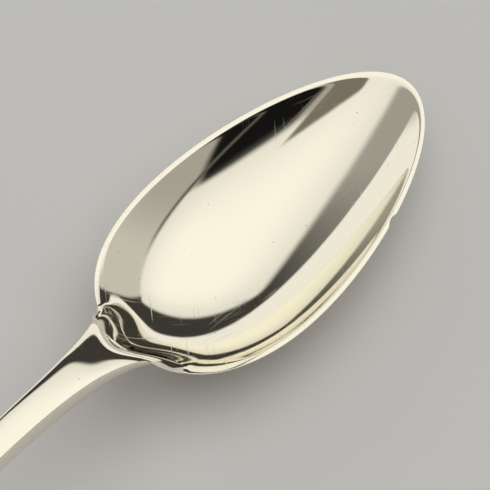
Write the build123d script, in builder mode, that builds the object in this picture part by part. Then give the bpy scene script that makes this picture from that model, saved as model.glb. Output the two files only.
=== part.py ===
"""Silver teaspoon with an egg-shaped bowl, a swept neck and a rounded, turned-down handle end.

The spoon lies as it does on a table: the bowl is open upwards, its back and the end of the
handle touch z = 0, +X runs from the handle to the tip and y = 0 is the plane of symmetry.
The bowl, the stem and the drop on the bowl's back are separate pieces, joined by hard solder.
"""

import os
from math import cos, exp, log, pi, sqrt

from build123d import *

os.makedirs("parts", exist_ok=True)

# Whole spoon, in millimetres
TOTAL_LENGTH = 132.0

# Bowl, measured on the outer edge of its rim
BOWL_LENGTH = 44.0
BOWL_WIDTH = 23.7
BOWL_WIDEST_FROM_HEEL = 16.7
BOWL_DEPTH = 5.6
BOWL_WALL = 0.9
RIM_WIDTH = 0.6

# Shoulders and neck, measured back from the heel of the bowl
SHOULDER_WIDTH = 8.8
SHOULDER_FLARE = 4.3
RAMP_INTO_BOWL = 1.8
RAMP_BLEND = 0.7
BEND_FROM_HEEL = 5.5
BEND_RISE = 5.3
BEND_SOFTNESS = 0.3
CREST_RISE = 2.7
CREST_RUN = 8.5
FOOT_THICKNESS = 1.2
FOOT_RUN = 5.0
NECK_FROM_HEEL = 20.0
NECK_WIDTH = 3.35
NECK_THICKNESS = 4.0

# Handle
CREST_FROM_HEEL = 26.0
HANDLE_WIDTH = 12.6
HANDLE_THICKNESS = 1.6
HANDLE_END = 6.5
FOOT_EDGE = 0.12
STEM_EDGE = 0.45

# Drop on the back of the bowl
DROP_ROOT = 1.8
DROP_LENGTH = 8.5
DROP_WIDTH = 5.5
DROP_END_WIDTH = 4.2
DROP_THICKNESS = 0.7
DROP_EDGE = 0.35

# Hard solder between the pieces
SOLDER_FILM = 0.1

# Shape of the curves, without a unit
RAMP_SLOPE = 0.78
ARCH_SHARPNESS = 2.1
FOOT_FULLNESS = 0.62
NECK_FULLNESS = 0.85
HANDLE_FULLNESS = 0.88
FORM_STATIONS = 15
FORM_END_SHARE = 0.35
NECK_STATIONS = 8
RISE_STATIONS = 6
HANDLE_STATIONS = 6
STATION_CROWDING = 1.5

tip_x = TOTAL_LENGTH / 2
heel_x = tip_x - BOWL_LENGTH
end_x = -TOTAL_LENGTH / 2
stem_length = heel_x - end_x
rim_z = BOWL_DEPTH + BOWL_WALL
crest_z = rim_z + BEND_RISE + CREST_RISE


def ease(share):
    """A smooth step from 0 to 1."""
    return (1 - cos(pi * min(max(share, 0), 1))) / 2


def bowl_form(margin, depth):
    """A solid whose underside is one surface of the bowl.

    Its outline at the rim is the bowl's egg, `margin` larger all round, and its cross-sections
    are circles about one level axis, so every section of the bowl is an arc of even sweep.
    The egg's squared half-width goes on below zero past its ends, which carries the surface
    up above the rim at the heel, where the neck needs it.
    """
    length = BOWL_LENGTH + 2 * margin
    half_width = BOWL_WIDTH / 2 + margin
    widest = 2 * (BOWL_WIDEST_FROM_HEEL + margin) / length - 1
    skew = -2 * widest / (1 + widest**2)
    breadth = half_width**2 * (1 + skew * widest) / (1 - widest**2)
    axis_height = (half_width**2 - depth**2) / (2 * depth)
    axis_z = rim_z + axis_height

    # The surface ends where its radius has shrunk to a set share of the axis height
    shrink = (1 - FORM_END_SHARE**2) * axis_height**2 / breadth
    middle = shrink * skew / 2
    reach = sqrt(middle**2 + 1 + shrink)

    profile = []
    for station in range(FORM_STATIONS):
        share = middle - reach * cos(pi * station / (FORM_STATIONS - 1))
        half_width_squared = breadth * (1 - share**2) / (1 + skew * share)
        radius = sqrt(axis_height**2 + half_width_squared)
        profile.append((heel_x - margin + length * (1 + share) / 2, axis_z + radius))

    with BuildPart() as form:
        with BuildSketch(Plane.XZ):
            with BuildLine():
                Spline(profile)
                Polyline(profile[-1], (profile[-1][0], axis_z), (profile[0][0], axis_z), profile[0])
            make_face()
        revolve(axis=Axis((0, 0, axis_z), (1, 0, 0)))
    return form.part


def stem_top(back):
    """Height of the stem's upper face, a distance `back` from the heel.

    From the rim it climbs a straight ramp, bends over and rises gently to its crest.
    """
    into = back + RAMP_INTO_BOWL
    ramp = RAMP_SLOPE * (into + sqrt(into**2 + RAMP_BLEND**2)) / 2
    crest = BEND_RISE + CREST_RISE * (1 - exp((BEND_FROM_HEEL - back) / CREST_RUN))
    rise = ramp - BEND_SOFTNESS * log(1 + exp((ramp - crest) / BEND_SOFTNESS))
    arch = max(back - CREST_FROM_HEEL, 0) / (stem_length - CREST_FROM_HEEL)
    return rim_z + rise - (crest_z - HANDLE_THICKNESS) * arch**ARCH_SHARPNESS


def stem_taper(back):
    """Share of the way from the neck to the widest part of the handle."""
    return ease((back - NECK_FROM_HEEL) / (stem_length - HANDLE_END - NECK_FROM_HEEL))


def stem_half_width(back):
    flare = (SHOULDER_WIDTH - NECK_WIDTH) * exp(-back / SHOULDER_FLARE)
    return (NECK_WIDTH + (HANDLE_WIDTH - NECK_WIDTH) * stem_taper(back) + flare) / 2


def stem_value(back, foot, neck, handle):
    """A size of the section that settles from the foot to the neck, then goes on to the handle."""
    settling = exp(-(back + RAMP_INTO_BOWL) / FOOT_RUN)
    return neck + (foot - neck) * settling + (handle - neck) * stem_taper(back)


def stem_section(back):
    """Cross-section of the stem: a level top with soft edges and a rounded back."""
    top = stem_top(back)
    half = stem_half_width(back)
    bottom = top - stem_value(back, FOOT_THICKNESS, NECK_THICKNESS, HANDLE_THICKNESS)
    fullness = stem_value(back, FOOT_FULLNESS, NECK_FULLNESS, HANDLE_FULLNESS)
    edge = stem_value(back, FOOT_EDGE, STEM_EDGE, STEM_EDGE)
    turn_z = top - fullness * (top - bottom)
    turn_y = fullness * half
    with BuildSketch(Plane.YZ.offset(heel_x - back)) as section:
        with BuildLine():
            Line((-half, top), (half, top))
            Bezier((half, top), (half, turn_z), (turn_y, bottom), (0, bottom))
            Bezier((0, bottom), (-turn_y, bottom), (-half, turn_z), (-half, top))
        make_face()
        fillet(section.vertices().group_by(Axis.Y)[-1], edge)
    return section.sketch


bowl_outside = bowl_form(0, BOWL_DEPTH + BOWL_WALL)
bowl_inside = bowl_form(-RIM_WIDTH, BOWL_DEPTH)
solder_outside = bowl_form(SOLDER_FILM, rim_z + SOLDER_FILM)
drop_outside = bowl_form(SOLDER_FILM + DROP_THICKNESS, rim_z + SOLDER_FILM + DROP_THICKNESS)

# Stations of the stem, close together where the neck rises and wider apart along the handle
neck_stations = [
    NECK_FROM_HEEL * (station / NECK_STATIONS) ** STATION_CROWDING - RAMP_INTO_BOWL
    for station in range(NECK_STATIONS)
]
handle_stations = [
    NECK_FROM_HEEL + (stem_length - NECK_FROM_HEEL) * station / HANDLE_STATIONS
    for station in range(HANDLE_STATIONS + 1)
]
rise_line = [(heel_x - back, stem_top(back)) for back in reversed(neck_stations[:RISE_STATIONS])]

with BuildPart() as stem_blank:
    for back in neck_stations + handle_stations:
        add(stem_section(back))
    loft()
    with BuildSketch():
        end_half = stem_half_width(stem_length)
        with Locations((end_x + HANDLE_END, 0)):
            Ellipse(HANDLE_END, end_half)
            Rectangle(stem_length, 2 * end_half, align=(Align.MIN, Align.CENTER))
    extrude(amount=2 * crest_z, mode=Mode.INTERSECT)

with BuildPart() as bowl:
    add(bowl_outside)
    add(bowl_inside, mode=Mode.SUBTRACT)
    with BuildSketch(Plane.XZ):
        with BuildLine():
            Spline(rise_line)
            Polyline(
                rise_line[-1],
                (tip_x + BOWL_LENGTH, rim_z),
                (tip_x + BOWL_LENGTH, rim_z + BOWL_LENGTH),
                (rise_line[0][0], rim_z + BOWL_LENGTH),
                rise_line[0],
            )
        make_face()
    extrude(amount=BOWL_WIDTH, both=True, mode=Mode.SUBTRACT)

with BuildPart() as stem:
    add(stem_blank.part)
    add(solder_outside, mode=Mode.SUBTRACT)

with BuildPart() as heel_solder:
    add(stem_blank.part)
    add(solder_outside, mode=Mode.INTERSECT)
    add(bowl_outside, mode=Mode.SUBTRACT)

with BuildPart() as drop_blank:
    with BuildSketch(Plane.XY.offset(-DROP_THICKNESS - SOLDER_FILM)):
        round_x = heel_x + DROP_LENGTH - DROP_END_WIDTH / 2
        with BuildLine():
            end = ThreePointArc(
                (round_x, -DROP_END_WIDTH / 2),
                (heel_x + DROP_LENGTH, 0),
                (round_x, DROP_END_WIDTH / 2),
            )
            Polyline(
                end @ 1,
                (heel_x - DROP_ROOT, DROP_WIDTH / 2),
                (heel_x - DROP_ROOT, -DROP_WIDTH / 2),
                end @ 0,
            )
        make_face()
    extrude(amount=rim_z + DROP_THICKNESS + SOLDER_FILM)
    add(drop_outside, mode=Mode.INTERSECT)
    tongue_edges = drop_blank.faces().sort_by(Axis.Z)[0].edges().sort_by(Axis.X)[1:]
    fillet(tongue_edges, DROP_EDGE)
    add(stem_blank.part, mode=Mode.SUBTRACT)

with BuildPart() as drop:
    add(drop_blank.part)
    add(solder_outside, mode=Mode.SUBTRACT)

with BuildPart() as drop_solder:
    add(drop_blank.part)
    add(solder_outside, mode=Mode.INTERSECT)
    add(bowl_outside, mode=Mode.SUBTRACT)

pieces = {
    "bowl": bowl,
    "stem": stem,
    "drop": drop,
    "heel_solder": heel_solder,
    "drop_solder": drop_solder,
}
for name, piece in pieces.items():
    piece.part.label = name
    export_step(piece.part, f"parts/{name}.step")
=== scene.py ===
"""Silver teaspoon on a pale table: its bowl, stem, drop and solder joints, modelled over the solids.

Sizes are in millimetres while a piece is modelled, and each finished piece is scaled to metres.
A piece starts as a closed blank spun about the X axis, and is then pressed to its real form,
the way the spoon itself was raised from a disc and forged from a bar.
"""

from math import atan2, copysign, cos, exp, hypot, log, pi, sin, sqrt, tau

import bmesh
import bpy
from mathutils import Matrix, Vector


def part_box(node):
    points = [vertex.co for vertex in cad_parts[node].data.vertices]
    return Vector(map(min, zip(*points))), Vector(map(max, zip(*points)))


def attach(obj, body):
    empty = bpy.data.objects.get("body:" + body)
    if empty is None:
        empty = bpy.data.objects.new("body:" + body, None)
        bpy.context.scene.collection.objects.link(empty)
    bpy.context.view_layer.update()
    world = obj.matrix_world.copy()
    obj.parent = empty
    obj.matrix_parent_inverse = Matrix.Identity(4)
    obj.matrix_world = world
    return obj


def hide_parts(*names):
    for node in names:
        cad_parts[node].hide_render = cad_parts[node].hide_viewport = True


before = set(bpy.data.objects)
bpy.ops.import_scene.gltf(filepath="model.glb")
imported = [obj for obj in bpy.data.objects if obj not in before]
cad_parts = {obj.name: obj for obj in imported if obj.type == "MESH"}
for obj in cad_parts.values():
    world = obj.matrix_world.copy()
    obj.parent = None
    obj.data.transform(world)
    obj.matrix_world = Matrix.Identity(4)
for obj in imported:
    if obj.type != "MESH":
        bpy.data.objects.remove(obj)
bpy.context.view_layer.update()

MM = 0.001

# Bowl, measured on the outer edge of its rim, a hair inside the box of its solid
BOWL_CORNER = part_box("bowl")[1] / MM
BOX_MARGIN = 0.01
TIP_X = BOWL_CORNER.x
BOWL_LENGTH = 44.0
BOWL_WIDTH = 2 * (BOWL_CORNER.y - BOX_MARGIN)
BOWL_WIDEST_FROM_HEEL = 16.7
BOWL_DEPTH = 5.6
BOWL_WALL = 0.9
RIM_WIDTH = 0.6
RIM_EDGE = 0.1
RIM_EDGE_FADE = 0.05

# Dent that a knock left in the near rim; it dies away down the back by a high power
NICK_X = 51.9
NICK_LENGTH = 1.6
NICK_DEPTH = 0.3
NICK_FALL = 40

# Shoulders and neck, measured back from the heel of the bowl
SHOULDER_WIDTH = 8.8
SHOULDER_FLARE = 4.6
FOOT_INTO_BOWL = 1.5
FOOT_MIDDLE_RISE = 0.9
FOOT_THICKNESS = 1.2
FOOT_RUN = 5.0
FOOT_EDGE = 0.12
FOOT_FULLNESS = 0.62
NECK_RISE = 7.5
NECK_SLOPE = 0.2
NECK_BEND_FROM_HEEL = 14.0
NECK_BEND_RUN = 3.0
RAMP_EXTRA_SLOPE = 0.1
RAMP_BEND_FROM_HEEL = 7.0
RAMP_BEND_RUN = 0.5
NECK_FROM_HEEL = 20.0
NECK_WIDTH = 3.35
NECK_THICKNESS = 3.8
NECK_FULLNESS = 0.85

# Roundness of the stem's top
EDGE_CROWN = 0.16
NECK_CROWN_SHARE = 0.055
SHOULDER_CROWN = 1.0
SHOULDER_CROWN_RUN = 1.3
CROWN_POWER = 4.0
RIM_BLEND = 2.4

# Handle
END_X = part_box("stem")[0].x / MM
CREST_FROM_HEEL = 26.0
ARCH_SHARPNESS = 2.1
HANDLE_WIDTH = 12.6
HANDLE_THICKNESS = 1.6
HANDLE_END = 6.5
HANDLE_FULLNESS = 0.88
STEM_EDGE = 0.25
STEM_EDGE_LIMIT = 0.9

# Drop on the back of the bowl, and the solder films
DROP_ROOT = 0.9
DROP_LENGTH = 8.5
DROP_WIDTH = 5.5
DROP_END_WIDTH = 4.2
DROP_THICKNESS = 0.7
DROP_ROUNDNESS = 4.0
SOLDER_FILM = 0.1
SOLDER_INSET = 0.985

# Lip between the inside of the bowl and the surface above it, soft at the heel and crisp elsewhere
RIM_LIP = 0.06
HEEL_LIP = 1.1
HEEL_LIP_REACH = 10.0
HOLLOW_BEHIND_HEEL = 10.0
HOLLOW_STEEPNESS = 1.2
SHOULDER_INSET = 1.0
SHOULDER_INSET_REACH = 6.0

HEEL_X = TIP_X - BOWL_LENGTH
STEM_LENGTH = HEEL_X - END_X
RIM_Z = BOWL_DEPTH + BOWL_WALL
CREST_Z = RIM_Z + NECK_RISE

# Shares of the way round a half section of the stem, from the middle of its top to its back
TOP_SHARE = 0.26
EDGE_SHARE = 0.48

# Fineness of the meshes, and small lengths for slopes, ends and searches
FOOT_SEGMENTS = 112
SLOPE_STEP = 0.01
LEAST_WIDTH = 0.01
END_GAP = 0.002
HEEL_SEARCH = (-4.0, 14.0)
FOOT_SEARCH = (-1.8, 6.0)
RIM_SEARCH = (0.9, 1.2)

# Wear of the silver: sizes in metres, angles in radians from the spoon's length
RIPPLE_SIZE = 3.0 * MM
RIPPLE_DEPTH = 0.004 * MM
POLISH_STRETCH = 0.4
PATCH_SIZE = 9.0 * MM
PATCH_NONE = 0.42
PATCH_FULL = 0.62
SCRATCH_WIDTH = 0.16 * MM
SCRATCH_CURVE = 1.5 * MM
SCRATCH_LAYERS = [(0.05, 16.0 * MM), (0.4, 9.0 * MM), (0.65, 7.0 * MM), (-0.85, 5.0 * MM)]
SCRATCH_NONE = 0.74
SCRATCH_FULL = 0.81
PIT_SPACING = 0.9 * MM
PITTED_SHARE = 0.3
PIT_EDGE = 0.085
PIT_FLOOR = 0.045
TARNISH_NONE_ABOVE = 0.2
TARNISH_FULL_BELOW = -0.3
TARNISH_SHARE = 0.22
POLISHED_ROUGHNESS = 0.05
WORN_ROUGHNESS = 0.45

# Camera, in metres: above the handle's side, looking down over the bowl with a long lens
CAMERA_AT = Vector((-0.15508, -0.17008, 0.41938))
CAMERA_AIM = Vector((0.04032, 0.00014, 0.00482))
CAMERA_LENS = 346.5

# Half the table's width in metres, and shapes in the light tent, one unit away from the spoon
TABLE_HALF_WIDTH = 8
WALL_TOP = 0.384
WALL_TOP_SLOPE = -0.33
WALL_TOP_SAG = 0.17
ROOM_SLANT = 1.2
LEAST_SHARE = 0.001


def ease(share):
    """A smooth step from 0 to 1."""
    return (1 - cos(pi * min(max(share, 0), 1))) / 2


def crossing(inside, low, high, steps=40):
    """Where a test that is true at `low` and false at `high` changes."""
    for _ in range(steps):
        middle = (low + high) / 2
        if inside(middle):
            low = middle
        else:
            high = middle
    return (low + high) / 2


class BowlSurface:
    """One surface of the bowl: an egg outline at the rim, a margin larger than the rim's, whose
    cross-sections are circles about one level axis."""

    def __init__(self, margin, depth):
        half_width = BOWL_WIDTH / 2 + margin
        self.length = BOWL_LENGTH + 2 * margin
        self.start = HEEL_X - margin
        widest = 2 * (BOWL_WIDEST_FROM_HEEL + margin) / self.length - 1
        self.skew = -2 * widest / (1 + widest**2)
        self.breadth = half_width**2 * (1 + self.skew * widest) / (1 - widest**2)
        self.axis_height = (half_width**2 - depth**2) / (2 * depth)

    def plan(self, radius, angle):
        """A point of the egg's plan, from a point of a disc whose edge is the outline."""
        along = radius * cos(angle)
        across = radius * sin(angle)
        x = self.start + self.length * (1 + along) / 2
        return x, sqrt(self.breadth / (1 + self.skew * along)) * across

    def inside_edge(self, x, y):
        """Positive inside the egg's outline, zero on it and negative outside."""
        along = 2 * (x - self.start) / self.length - 1
        return self.breadth * (1 - along**2) / (1 + self.skew * along) - y**2

    def height(self, x, y):
        """Height of the surface, which goes on past the outline up to the level of its axis."""
        drop = sqrt(max(self.axis_height**2 + self.inside_edge(x, y), 0))
        return RIM_Z + self.axis_height - drop

    def x_at(self, y, z):
        """Where the heel of the surface has a given height, off the spoon's middle by `y`."""
        behind, past = HEEL_SEARCH
        return crossing(lambda x: self.height(x, y) > z, HEEL_X + behind, HEEL_X + past)


inside_surface = BowlSurface(-RIM_WIDTH, BOWL_DEPTH)
outside_surface = BowlSurface(0, RIM_Z)
film_surface = BowlSurface(SOLDER_FILM, RIM_Z + SOLDER_FILM)
drop_surface = BowlSurface(SOLDER_FILM + DROP_THICKNESS, RIM_Z + SOLDER_FILM + DROP_THICKNESS)


def stem_taper(back):
    """Share of the way from the neck to the widest part of the handle."""
    return ease((back - NECK_FROM_HEEL) / (STEM_LENGTH - HANDLE_END - NECK_FROM_HEEL))


def stem_half_width(back):
    """Half the stem's width, which flares into the shoulders and closes at the handle's round end."""
    flare = (SHOULDER_WIDTH - NECK_WIDTH) * exp(-back / SHOULDER_FLARE)
    half = (NECK_WIDTH + (HANDLE_WIDTH - NECK_WIDTH) * stem_taper(back) + flare) / 2
    into_end = max(back - (STEM_LENGTH - HANDLE_END), 0) / HANDLE_END
    return half * sqrt(max(1 - into_end**2, 0))


def stem_top(back, across):
    """Height of the stem's upper face: `across` is 0 on its middle line and 1 on its edge.

    The neck climbs a ramp, bends to a gentler slope and bends again to its crest. Its shoulders
    are rounded off ever more towards the heel, until they sink into the flat rim.
    """
    ramp = RAMP_BEND_RUN * log(1 + exp((RAMP_BEND_FROM_HEEL - back) / RAMP_BEND_RUN))
    slope = NECK_BEND_RUN * log(1 + exp((NECK_BEND_FROM_HEEL - back) / NECK_BEND_RUN))
    crown = EDGE_CROWN + SHOULDER_CROWN * exp(-back / SHOULDER_CROWN_RUN)
    roundness = NECK_CROWN_SHARE * stem_half_width(back) * (1 - stem_taper(back))
    middle = NECK_RISE - NECK_SLOPE * slope - RAMP_EXTRA_SLOPE * ramp
    rise = middle - crown * abs(across) ** CROWN_POWER - roundness * across**2
    overlap = max(RIM_BLEND - abs(rise), 0)
    level = max(rise, 0) + overlap**2 / (4 * RIM_BLEND)
    arch = max(back - CREST_FROM_HEEL, 0) / (STEM_LENGTH - CREST_FROM_HEEL)
    return RIM_Z + level - (CREST_Z - HANDLE_THICKNESS - EDGE_CROWN) * arch**ARCH_SHARPNESS


def upper_level(x, y):
    """The flat rim and the top of the stem, before the hollow of the bowl is cut into them."""
    back = HEEL_X - x
    return stem_top(back, y / max(stem_half_width(back), LEAST_WIDTH))


def hollow_height(x, y):
    """The inside of the bowl, which goes on evenly above the rim."""
    above = -inside_surface.inside_edge(x, y)
    if above < 0:
        return inside_surface.height(x, y)
    return RIM_Z + HOLLOW_STEEPNESS * above / (2 * inside_surface.axis_height)


def upper_height(x, y):
    """The spoon's upper side: the rim, the stem and the hollow that meets them in a soft lip."""
    level = upper_level(x, y)
    if x < HEEL_X - HOLLOW_BEHIND_HEEL:
        return level
    from_heel = x - HEEL_X
    at_shoulder = ease(2 * abs(y) / SHOULDER_WIDTH) * ease(1 - from_heel / SHOULDER_INSET_REACH)
    hollow = hollow_height(x - SHOULDER_INSET * at_shoulder, y)
    softness = RIM_LIP + (HEEL_LIP - RIM_LIP) * ease(1 - from_heel / HEEL_LIP_REACH)
    return min(hollow, level) - softness * log(1 + exp(-abs(hollow - level) / softness))


def stem_value(back, foot, neck, handle):
    """A size of the section that settles from the foot to the neck, then goes on to the handle."""
    settling = exp(-(back + FOOT_INTO_BOWL) / FOOT_RUN)
    return neck + (foot - neck) * settling + (handle - neck) * stem_taper(back)


def stem_section(back, share):
    """A point (y, z) on one half of the stem's section."""
    x = HEEL_X - back
    half = stem_half_width(back)
    top = stem_top(back, 1)
    bottom = top - stem_value(back, FOOT_THICKNESS, NECK_THICKNESS, HANDLE_THICKNESS)
    fullness = stem_value(back, FOOT_FULLNESS, NECK_FULLNESS, HANDLE_FULLNESS)
    edge = min(stem_value(back, FOOT_EDGE, STEM_EDGE, STEM_EDGE), STEM_EDGE_LIMIT * half)

    # The end of the handle is rounded over too
    short = max(STEM_EDGE - (STEM_LENGTH - back), 0)
    turned = STEM_EDGE - sqrt(max(STEM_EDGE**2 - short**2, 0))
    top -= turned
    bottom += turned
    thickness = top - bottom

    def side(t):
        """The rounded back: a cubic curve down from the edge and in to the middle."""
        y = half * ((1 - t) ** 3 + 3 * (1 - t) ** 2 * t + fullness * 3 * (1 - t) * t**2)
        z = top - thickness * (fullness * 3 * (1 - t) ** 2 * t + 3 * (1 - t) * t**2 + t**3)
        return y, z

    side_start = edge / (3 * fullness * thickness)
    if share >= EDGE_SHARE:
        return side(side_start + (1 - side_start) * (share - EDGE_SHARE) / (1 - EDGE_SHARE))
    edge_y, edge_z = side(side_start)
    turn_y = edge_y - edge
    if share < TOP_SHARE:
        y = turn_y * share / TOP_SHARE
        return y, upper_height(x, y) - turned

    # The edge leaves the top along its slope and reaches the side upright
    turn_z = upper_height(x, turn_y)
    slope = (turn_z - upper_height(x, turn_y - SLOPE_STEP)) / SLOPE_STEP
    t = (share - TOP_SHARE) / (EDGE_SHARE - TOP_SHARE)
    y = turn_y + edge * (1 - (1 - t) ** 2)
    z = (1 - t) ** 2 * turn_z + 2 * (1 - t) * t * (turn_z + slope * edge) + t**2 * (edge_z + turned)
    return y, z - turned


def stem_start(share):
    """How far back from the heel a line along the stem comes out of the bowl."""

    def in_bowl(back):
        y, z = stem_section(back, share)
        return z > film_surface.height(HEEL_X - back, y)

    return crossing(in_bowl, *FOOT_SEARCH)


def spun_blank(profile, segments):
    """A closed blank, spun about the X axis from points (along, radius) that end on the axis."""
    bm = bmesh.new()
    verts = [bm.verts.new((along, 0, radius)) for along, radius in profile]
    edges = [bm.edges.new(pair) for pair in zip(verts, verts[1:])]
    bmesh.ops.spin(
        bm, geom=verts + edges, cent=(0, 0, 0), axis=(1, 0, 0), angle=tau, steps=segments, use_merge=True
    )
    bmesh.ops.remove_doubles(bm, verts=bm.verts, dist=1e-6)
    return bm


def press(bm, form):
    """Moves each vertex of a blank to form(along, radius, angle), the angle taken from the top."""
    for vert in bm.verts:
        along, y, z = vert.co
        vert.co = form(along, hypot(y, z), round(atan2(y, z), 5))
    bmesh.ops.recalc_face_normals(bm, faces=bm.faces)


def finish_piece(bm, name, node, material):
    """Turns a modelled blank into a smooth piece in metres that stands for its CAD node."""
    bmesh.ops.scale(bm, vec=(MM, MM, MM), verts=bm.verts)
    for face in bm.faces:
        face.smooth = True
    mesh = bpy.data.meshes.new(name)
    bm.to_mesh(mesh)
    bm.free()
    piece = bpy.data.objects.new(name, mesh)
    bpy.context.scene.collection.objects.link(piece)
    mesh.materials.append(material)
    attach(piece, "root")
    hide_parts(node)


def linear(hex_colour):
    """An sRGB colour such as "C8C0B0" as linear red, green, blue and alpha."""
    channels = [int(hex_colour[i : i + 2], 16) / 255 for i in (0, 2, 4)]
    values = [c / 12.92 if c <= 0.04045 else ((c + 0.055) / 1.055) ** 2.4 for c in channels]
    return (*values, 1)


def new_material(name):
    material = bpy.data.materials.new(name)
    material.use_nodes = True
    material.node_tree.nodes.clear()
    return material


def add_node(tree, kind, links=None, **settings):
    """Adds a node, sets its properties, then sets or links its inputs by name or place.

    A node given for an input is linked from its first output.
    """
    node = tree.nodes.new("ShaderNode" + kind)
    for key, value in settings.items():
        setattr(node, key, value)
    for key, value in (links or {}).items():
        if isinstance(value, bpy.types.Node):
            value = value.outputs[0]
        if isinstance(value, bpy.types.NodeSocket):
            tree.links.new(value, node.inputs[key])
        else:
            node.inputs[key].default_value = value
    return node


def polished_silver():
    """Sterling silver, raised, filed and polished, then worn by years of wiping.

    The polish leaves a bright warm mirror with a faint ripple along the spoon. Wear adds hairline
    scratches and small pits, which scatter light: pale in a dark reflection and dark in a pale one.
    Real hairlines are finer, and are drawn as wide as they need to be to show. Where a cloth seldom
    reaches, low on the sides, a thin brown bloom of tarnish stays.
    """
    material = new_material("polished_sterling_silver")
    tree = material.node_tree
    coordinates = add_node(tree, "TexCoord").outputs
    place = coordinates["Object"]

    polish = add_node(tree, "Mapping", {"Vector": place, "Scale": (POLISH_STRETCH, 1, 1)})
    ripple = add_node(tree, "TexNoise", {"Vector": polish, "Scale": 1 / RIPPLE_SIZE, "Detail": 4.0})
    bump = add_node(tree, "Bump", {"Height": ripple, "Distance": RIPPLE_DEPTH})

    # Scratches run in worn patches and bend a little
    patches = add_node(tree, "TexNoise", {"Vector": place, "Scale": 1 / PATCH_SIZE, "Detail": 1.0})
    worn = add_node(
        tree, "MapRange", {"Value": patches, "From Min": PATCH_NONE, "From Max": PATCH_FULL}
    )
    bend = (SCRATCH_CURVE, SCRATCH_CURVE, 0)
    bent = add_node(
        tree, "VectorMath", {0: patches.outputs["Color"], 1: bend, 2: place}, operation="MULTIPLY_ADD"
    )
    marks = 0.0
    for angle, length in SCRATCH_LAYERS:
        stroke_scale = (1 / length, 1 / SCRATCH_WIDTH, 0)
        turned = add_node(tree, "VectorRotate", {"Vector": bent, "Angle": angle})
        strokes = add_node(tree, "Mapping", {"Vector": turned, "Scale": stroke_scale})
        lines = add_node(tree, "TexNoise", {"Vector": strokes, "Scale": 1.0, "Detail": 0.0})
        sharp = add_node(
            tree,
            "MapRange",
            {"Value": lines, "From Min": SCRATCH_NONE, "From Max": SCRATCH_FULL, "To Max": worn},
        )
        marks = add_node(tree, "Math", {0: sharp, 1: marks}, operation="MAXIMUM")

    # Pits lie in some of the cells of an uneven net
    cells = add_node(tree, "TexVoronoi", {"Vector": place, "Scale": 1 / PIT_SPACING})
    chance = add_node(tree, "SeparateXYZ", {"Vector": cells.outputs["Color"]})
    pitted = add_node(tree, "Math", {0: chance, 1: PITTED_SHARE}, operation="LESS_THAN")
    pits = add_node(
        tree, "MapRange", {"Value": cells, "From Min": PIT_EDGE, "From Max": PIT_FLOOR, "To Max": pitted}
    )
    marks = add_node(tree, "Math", {0: marks, 1: pits}, operation="MAXIMUM")
    roughness = add_node(
        tree, "MapRange", {"Value": marks, "To Min": POLISHED_ROUGHNESS, "To Max": WORN_ROUGHNESS}
    )

    upward = add_node(tree, "SeparateXYZ", {"Vector": coordinates["Normal"]}).outputs["Z"]
    bloom = add_node(
        tree,
        "MapRange",
        {
            "Value": upward,
            "From Min": TARNISH_NONE_ABOVE,
            "From Max": TARNISH_FULL_BELOW,
            "To Max": TARNISH_SHARE,
        },
    )
    clean = add_node(
        tree, "Mix", {0: bloom, 6: linear("FAF6EA"), 7: linear("B08A54")}, data_type="RGBA"
    )
    colour = add_node(
        tree, "Mix", {0: pits, 6: clean.outputs[2], 7: linear("8C8170")}, data_type="RGBA"
    )
    shader = add_node(
        tree,
        "BsdfPrincipled",
        {"Base Color": colour.outputs[2], "Metallic": 1.0, "Roughness": roughness, "Normal": bump},
    )
    add_node(tree, "OutputMaterial", {"Surface": shader})
    return material


def silver_solder():
    """Hard silver solder, filed flush: a little greyer and duller than the silver."""
    material = new_material("hard_silver_solder")
    tree = material.node_tree
    shader = add_node(
        tree,
        "BsdfPrincipled",
        {"Base Color": linear("DAD3C2"), "Metallic": 1.0, "Roughness": 0.18},
    )
    add_node(tree, "OutputMaterial", {"Surface": shader})
    return material


def table_paint():
    """Matt pale paint, rolled on: it spreads light evenly, so it shows shadows and no reflections."""
    material = new_material("pale_table_paint")
    tree = material.node_tree
    shader = add_node(tree, "BsdfPrincipled", {"Base Color": linear("F0F1F6"), "Roughness": 0.7})
    add_node(tree, "OutputMaterial", {"Surface": shader})
    return material


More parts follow.
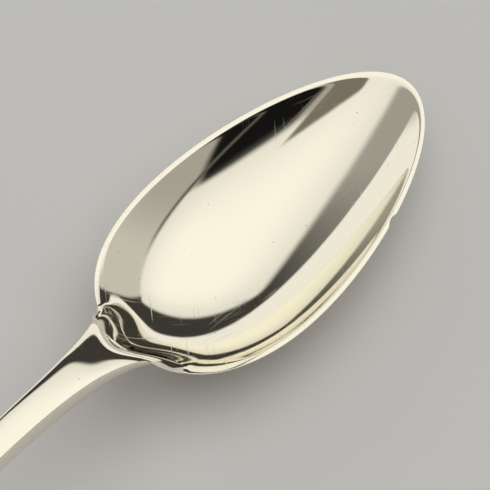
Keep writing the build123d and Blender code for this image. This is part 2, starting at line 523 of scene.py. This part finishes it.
def make_bowl(material):
    """The bowl: a disc with its upper side pressed hollow and a flat rim left round it.

    The blank's upper side has the hollow out to radius 1 and the rim from there out to radius 2.
    """
    segments = 384
    hollow_rings = 44
    hollow_crowding = 1.6
    rim_rings = 12
    rim_ring_step = 0.06
    edge_shares = (1.1, 0.8, 0.55, 0.35, 0.2, 0.08, 0)
    under_edge = 1.985
    back_rings = 24
    profile = [(1, 1 - (1 - ring / hollow_rings) ** hollow_crowding) for ring in range(hollow_rings + 1)]
    profile += [(1, 1 + rim_ring_step * ring) for ring in range(1, rim_rings + 1)]
    profile += [(1, 2 - share * RIM_EDGE / RIM_WIDTH) for share in edge_shares]
    profile += [(0, under_edge)]
    profile += [(0, 2 * (1 - ring / back_rings)) for ring in range(1, back_rings + 1)]
    bm = spun_blank(profile, segments)

    def rim_reach(angle):
        """The outer edge in the egg's disc: its outline, or further back where the stem sits."""

        def in_bowl(radius):
            x, y = outside_surface.plan(radius, angle)
            return outside_surface.height(x, y) < upper_level(x, y)

        return max(crossing(in_bowl, *RIM_SEARCH), 1)

    def nick(x, y):
        """How far a knock has dented the near rim inwards."""
        away = min(abs(x - NICK_X) / (NICK_LENGTH / 2), 1)
        return NICK_DEPTH * (1 - away**2) if y < 0 else 0

    reach = {}

    def form(side, radius, angle):
        if angle not in reach:
            reach[angle] = rim_reach(angle)
        if side == 0:
            x, y = outside_surface.plan(radius / 2 * reach[angle], angle)
            return x, y + nick(x, y) * (radius / 2) ** NICK_FALL, outside_surface.height(x, y)
        x, y = inside_surface.plan(min(radius, 1), angle)
        if radius > 1:
            edge_x, edge_y = outside_surface.plan(reach[angle], angle)
            x += (edge_x - x) * (radius - 1)
            y += (edge_y + nick(edge_x, edge_y) - y) * (radius - 1)
        from_edge = min(max((2 - radius) * RIM_WIDTH / RIM_EDGE, 0), 1)
        rounding = RIM_EDGE * (1 - sqrt(1 - (1 - from_edge) ** 2))
        return x, y, upper_height(x, y) - rounding * ease(1 - (reach[angle] - 1) / RIM_EDGE_FADE)

    # The outer edge is soft along the rim and sharp where it climbs to meet the stem
    on_edge = 1.999
    level_with_rim = RIM_Z + 0.02
    rim_verts = {vert for vert in bm.verts if hypot(vert.co.y, vert.co.z) > on_edge}
    press(bm, form)
    rim_edges = [edge for edge in bm.edges if set(edge.verts) <= rim_verts]
    for edge in rim_edges:
        edge.smooth = max(vert.co.z for vert in edge.verts) < level_with_rim
    finish_piece(bm, "spoon_bowl", "bowl", material)


def foot_point(inset, angle, surface):
    """A point of the foot's joint with the bowl: `inset` is 1 on its outline, 0 at its middle."""
    share = abs(angle) / pi
    y, z = stem_section(stem_start(share), share)
    middle_z = RIM_Z + FOOT_MIDDLE_RISE
    y = copysign(inset * y, angle)
    z = middle_z + inset * (z - middle_z)
    return surface.x_at(y, z), y, z


def make_stem(material):
    """Neck and handle: a bar drawn out, with a foot fitted to the heel of the bowl."""
    neck_ribs = 120
    neck_crowding = 1.45
    end_ribs = 26
    foot_insets = (0, 0.3, 0.6, 0.85)
    body_length = STEM_LENGTH - HANDLE_END
    profile = [(0, inset) for inset in foot_insets]
    profile += [(body_length * (rib / neck_ribs) ** neck_crowding, 1) for rib in range(neck_ribs)]
    profile += [(body_length + HANDLE_END * sin(pi / 2 * rib / end_ribs), 1) for rib in range(end_ribs)]
    profile += [(STEM_LENGTH - END_GAP, 0)]
    bm = spun_blank(profile, FOOT_SEGMENTS)
    on_skin = 0.999
    fade_length = 12.0
    end_share = 0.5
    starts = {}

    def form(along, radius, angle):
        if along == 0 and radius < on_skin:
            return foot_point(radius, angle, film_surface)
        share = abs(angle) / pi
        if angle not in starts:
            starts[angle] = stem_start(share)
        back = along + starts[angle] * max(1 - along / fade_length, 0) ** 2
        if radius < on_skin:
            share = end_share
        y, z = stem_section(back, share)
        return HEEL_X - back, copysign(radius * y, angle), z

    foot_verts = {vert for vert in bm.verts if vert.co.x == 0 and hypot(vert.co.y, vert.co.z) > on_skin}
    press(bm, form)
    for edge in bm.edges:
        if set(edge.verts) <= foot_verts:
            edge.smooth = False
    finish_piece(bm, "spoon_stem", "stem", material)


def make_heel_solder(material):
    """The film of solder between the foot of the stem and the heel of the bowl."""
    insets = (0, 0.35, 0.7, 1)
    profile = [(0, inset) for inset in insets] + [(1, inset) for inset in reversed(insets)]
    bm = spun_blank(profile, FOOT_SEGMENTS)

    def form(side, inset, angle):
        return foot_point(SOLDER_INSET * inset, angle, film_surface if side else outside_surface)

    press(bm, form)
    finish_piece(bm, "heel_solder_film", "heel_solder", material)


def drop_half_width(x):
    """Half the width of the drop's tongue: it narrows from its root to a round end."""
    end_radius = DROP_END_WIDTH / 2
    round_x = HEEL_X + DROP_LENGTH - end_radius
    share = min((x - (HEEL_X - DROP_ROOT)) / (round_x - (HEEL_X - DROP_ROOT)), 1)
    half = (DROP_WIDTH + (DROP_END_WIDTH - DROP_WIDTH) * share) / 2
    into_end = max(x - round_x, 0) / end_radius
    return half * sqrt(max(1 - into_end**2, 0))


def tongue_blank(near_surface, far_surface, inset):
    """A tongue on the back of the bowl, between two surfaces, with rounded edges."""
    segments = 64
    body_ribs = 24
    end_ribs = 18
    end_radius = DROP_END_WIDTH / 2
    length = DROP_LENGTH + DROP_ROOT
    body_length = length - end_radius
    profile = [(0, 0)]
    profile += [(body_length * rib / body_ribs, 1) for rib in range(body_ribs)]
    profile += [(body_length + end_radius * sin(pi / 2 * rib / end_ribs), 1) for rib in range(end_ribs)]
    profile += [(length - END_GAP, 0)]
    bm = spun_blank(profile, segments)

    def form(along, radius, angle):
        x = HEEL_X - DROP_ROOT + along
        half = inset * drop_half_width(x)
        turn = min(abs(angle) / pi, 1)
        if turn < 0.5:
            y = copysign(radius * half * turn / 0.5, angle)
            return x, y, near_surface.height(x, y)
        roll = pi * (turn - 0.5)
        across = max(cos(roll), 0) ** (2 / DROP_ROUNDNESS)
        deep = sin(roll) ** (2 / DROP_ROUNDNESS)
        into_end = max(along - body_length, 0) / end_radius
        deep *= max(1 - into_end**DROP_ROUNDNESS, 0) ** (1 / DROP_ROUNDNESS)
        y = copysign(radius * half * across, angle)
        near = near_surface.height(x, y)
        return x, y, near + radius * deep * (far_surface.height(x, y) - near)

    press(bm, form)
    return bm


def make_drop(material):
    """The drop: a tongue of silver that backs the joint."""
    bm = tongue_blank(film_surface, drop_surface, 1.0)
    finish_piece(bm, "bowl_drop", "drop", material)


def make_drop_solder(material):
    """The film of solder between the drop and the back of the bowl."""
    bm = tongue_blank(outside_surface, film_surface, SOLDER_INSET)
    finish_piece(bm, "drop_solder_film", "drop_solder", material)


def make_table(material):
    """The plain pale table top under the spoon."""
    mesh = bpy.data.meshes.new("table_top")
    bm = bmesh.new()
    bmesh.ops.create_grid(bm, x_segments=1, y_segments=1, size=TABLE_HALF_WIDTH)
    bm.to_mesh(mesh)
    bm.free()
    table = bpy.data.objects.new("table_top", mesh)
    bpy.context.scene.collection.objects.link(table)
    mesh.materials.append(material)


def place_camera():
    data = bpy.data.cameras.new("camera")
    data.lens = CAMERA_LENS
    camera = bpy.data.objects.new("camera", data)
    camera.location = CAMERA_AT
    camera.rotation_euler = (CAMERA_AIM - CAMERA_AT).to_track_quat("-Z", "Y").to_euler()
    bpy.context.scene.collection.objects.link(camera)
    bpy.context.scene.camera = camera


def feathered(tree, edges):
    """The product of soft steps; each edge is (value, where it is 0, where it is 1)."""
    mask = 1.0
    for value, outside, inside in edges:
        step = add_node(
            tree,
            "MapRange",
            {"Value": value, "From Min": outside, "From Max": inside},
            interpolation_type="SMOOTHSTEP",
        )
        mask = add_node(tree, "Math", {0: step, 1: mask}, operation="MULTIPLY")
    return mask


def light_studio():
    """A photographer's light tent, turned to face the way the camera looks.

    A framed soft box hangs overhead, with pale walls on the right and ahead, a dark gap between the
    soft box and the wall ahead, and the dark room open behind the camera's right.
    """
    world = bpy.data.worlds.new("light_tent")
    world.use_nodes = True
    tree = world.node_tree
    tree.nodes.clear()
    view = CAMERA_AIM - CAMERA_AT
    direction = add_node(tree, "TexCoord").outputs["Generated"]
    turned = add_node(
        tree,
        "VectorRotate",
        {"Vector": direction, "Axis": (0, 0, 1), "Angle": atan2(view.x, view.y)},
        rotation_type="AXIS_ANGLE",
    )
    parts = add_node(tree, "SeparateXYZ", {"Vector": turned}).outputs
    right = parts["X"]
    ahead = parts["Y"]
    up = add_node(tree, "Math", {0: parts["Z"], 1: LEAST_SHARE}, operation="MAXIMUM")
    forward = add_node(tree, "Math", {0: ahead, 1: LEAST_SHARE}, operation="MAXIMUM")

    # Places on a level ceiling and on an upright wall ahead, one unit away
    ceiling_x = add_node(tree, "Math", {0: right, 1: up}, operation="DIVIDE")
    ceiling_y = add_node(tree, "Math", {0: ahead, 1: up}, operation="DIVIDE")
    wall_x = add_node(tree, "Math", {0: right, 1: forward}, operation="DIVIDE")
    wall_z = add_node(tree, "Math", {0: up, 1: forward}, operation="DIVIDE")

    # The dark room ends on a slant
    slant = add_node(tree, "Math", {0: ceiling_y, 1: ROOM_SLANT, 2: ceiling_x}, operation="MULTIPLY_ADD")

    # The top of the wall ahead falls in a curve from left to right
    sag = add_node(
        tree, "Math", {0: wall_x, 1: WALL_TOP_SAG, 2: WALL_TOP_SLOPE}, operation="MULTIPLY_ADD"
    )
    wall_top = add_node(tree, "Math", {0: wall_x, 1: sag, 2: WALL_TOP}, operation="MULTIPLY_ADD")
    below_top = add_node(tree, "Math", {0: wall_top, 1: wall_z}, operation="SUBTRACT")

    # Each panel has a colour and soft edges, and covers the panels before it
    gap_sides = [(wall_x, -1.2, -0.28), (wall_x, 1.4, 1.2)]
    wall_sides = [(wall_x, -1.9, -1.2), (wall_x, 1.35, 1.1)]
    room_sides = [(ceiling_x, 0.5, 0.62), (slant, 0.77, 0.57)]
    frame_sides = [(ceiling_x, 1.42, 1.5), (ceiling_x, 1.64, 1.54)]
    box_sides = [(ceiling_x, -0.52, -0.38), (ceiling_x, 1.52, 1.38)]
    middle_sides = [(ceiling_x, -0.6, 0.15), (ceiling_x, 1.7, 0.7)]
    camera_sides = [(ceiling_x, 0.0, 0.05), (ceiling_x, 0.48, 0.42)]
    panels = [
        ("right_wall", "C6C3BB", [(wall_x, 1.15, 1.4)]),
        ("right_wall_behind", "A8A59C", [(ahead, 0.1, -0.35), (right, 0.0, 0.3)]),
        ("gap_ahead", "3A3935", [*gap_sides, (forward, 0.0, 0.05)]),
        ("wall_ahead", "F2F0E7", [*wall_sides, (below_top, -0.03, 0.03)]),
        ("dark_room", "141414", [*room_sides, (ceiling_y, -0.42, -0.56)]),
        ("soft_box_frame", "5A5852", [*frame_sides, (ceiling_y, 0.4, -0.3)]),
        ("soft_box", "E6E4DB", [*box_sides, (ceiling_y, -0.58, -0.46), (ceiling_y, 1.4, 1.22)]),
        ("soft_box_middle", "FFFDF3", [*middle_sides, (ceiling_y, -0.7, 0.1), (ceiling_y, 1.3, 0.6)]),
        ("camera", "787369", [*camera_sides, (ceiling_y, -0.34, -0.4), (ceiling_y, -1.0, -0.9)]),
    ]
    colour = linear("A09E97")
    for name, paint, edges in panels:
        links = {0: feathered(tree, edges), 6: colour, 7: linear(paint)}
        colour = add_node(tree, "Mix", links, data_type="RGBA", label=name).outputs[2]
    tent = add_node(tree, "Background", {"Color": colour, "Strength": 1.0})
    add_node(tree, "OutputWorld", {"Surface": tent})
    bpy.context.scene.world = world


silver = polished_silver()
solder = silver_solder()
make_bowl(silver)
make_stem(silver)
make_heel_solder(solder)
make_drop(silver)
make_drop_solder(solder)

make_table(table_paint())
place_camera()
light_studio()
bpy.context.scene.view_settings.view_transform = "Standard"
